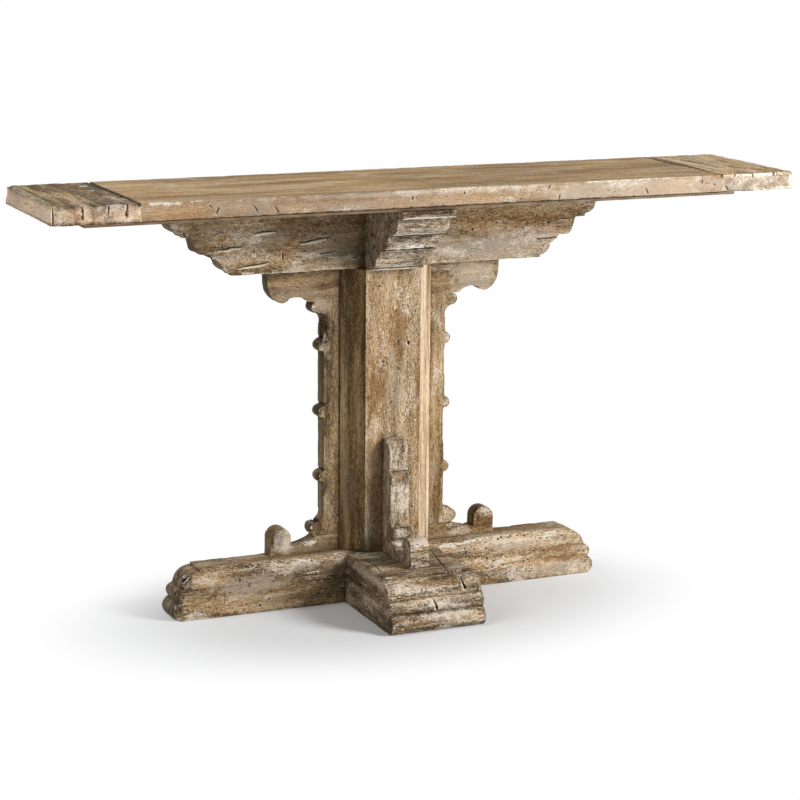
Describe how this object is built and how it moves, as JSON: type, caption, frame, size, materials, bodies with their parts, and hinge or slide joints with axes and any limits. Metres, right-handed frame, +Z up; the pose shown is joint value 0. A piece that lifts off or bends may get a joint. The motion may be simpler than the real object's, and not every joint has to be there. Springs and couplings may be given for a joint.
{
  "type": "pier table",
  "caption": "Narrow wall-standing pier table: plank top with breadboard ends on moulded corbels, a half-octagon column with beaded brackets, and a moulded cross base.",
  "frame": {"origin": "on the floor below the middle of the top", "axes": "+X along the table's length, +Y towards the wall, +Z up"},
  "size_m": [1.6, 0.34, 0.916],
  "materials": {
    "top_wood": "limed, worn and waxed",
    "breadboard_wood": "limed, rough and cracked",
    "frame_wood": "limed, worn and wormed",
    "inner_wood": "bare",
    "steel": "zinc plated"
  },
  "bodies": {
    "root": {"top_board_front": "top_wood", "top_board_middle": "top_wood", "top_board_back": "top_wood", "breadboard_end_left": "breadboard_wood", "breadboard_end_right": "breadboard_wood", "sub_top": "frame_wood", "corbel_beam": "frame_wood", "front_corbel": "frame_wood", "column_front_stave": "frame_wood", "column_chamfer_stave_left": "frame_wood", "column_chamfer_stave_right": "frame_wood", "column_side_stave_left": "frame_wood", "column_side_stave_right": "frame_wood", "column_back_panel": "frame_wood", "left_bracket_ear": "frame_wood", "left_bracket_upright": "frame_wood", "left_bracket_foot": "frame_wood", "right_bracket_ear": "frame_wood", "right_bracket_upright": "frame_wood", "right_bracket_foot": "frame_wood", "front_bracket_upright": "frame_wood", "front_bracket_foot": "frame_wood", "base_beam_upper": "frame_wood", "base_beam_lower_left": "frame_wood", "base_beam_lower_right": "frame_wood", "front_foot_upper": "frame_wood", "front_foot_lower": "frame_wood", "top_splines": "inner_wood", "breadboard_pegs": "inner_wood", "column_top_block": "inner_wood", "column_bottom_block": "inner_wood", "bracket_dowels": "inner_wood", "base_dowels": "inner_wood", "sub_top_screws": "steel", "corbel_screws": "steel", "tie_rod": "steel", "tie_rod_washers": "steel", "tie_rod_nuts": "steel"}
  },
  "joints": []
}
